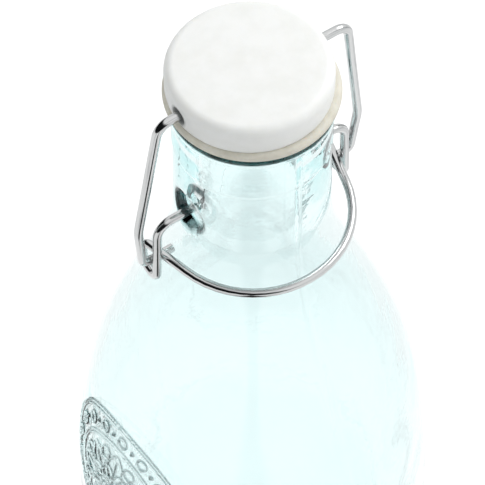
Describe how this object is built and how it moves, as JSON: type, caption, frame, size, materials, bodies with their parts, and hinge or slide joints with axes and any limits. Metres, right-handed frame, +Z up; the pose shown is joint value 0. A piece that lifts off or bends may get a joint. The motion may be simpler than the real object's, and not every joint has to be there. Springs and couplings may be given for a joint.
{
  "type": "swing top bottle",
  "caption": "Tall round glass bottle closed by a white stopper with a rubber gasket, held down by a hooked wire bail and an over-centre wire lever.",
  "frame": {"origin": "centre of the base, on the surface the bottle stands on", "axes": "+Z up along the bottle's axis, X through the two pivot sockets of the neck, the lever's thumb loop at -Y"},
  "size_m": [0.0873, 0.0868, 0.3061],
  "materials": {
    "glass": "clear, pale aqua, moulded",
    "stopper_white": "satin white",
    "gasket_rubber": "matte cream",
    "wire_steel": "bright drawn wire"
  },
  "bodies": {
    "bottle": {"glass_bottle": "glass"},
    "lever": {"lever_wire": "wire_steel"},
    "bail": {"bail_wire": "wire_steel"},
    "stopper": {"stopper": "stopper_white", "gasket": "gasket_rubber"}
  },
  "joints": [
    {"name": "lever_swing", "type": "hinge", "parent": "bottle", "child": "lever", "pos_m": [0, 0, 0.2682], "axis": [-1, 0, 0], "range_deg": [0, 72]},
    {"name": "bail_swing", "type": "hinge", "parent": "lever", "child": "bail", "pos_m": [0, 0.0024, 0.25401], "axis": [-1, 0, 0], "range_deg": [-48.96, 0]},
    {"name": "stopper_tilt", "type": "hinge", "parent": "bail", "child": "stopper", "pos_m": [0, 0, 0.3013], "axis": [-1, 0, 0], "range_deg": [-23.04, 0]}
  ],
  "couplings": [
    {"joint": "bail_swing", "follows": "lever_swing", "ratio": -0.68},
    {"joint": "stopper_tilt", "follows": "lever_swing", "ratio": -0.32}
  ]
}
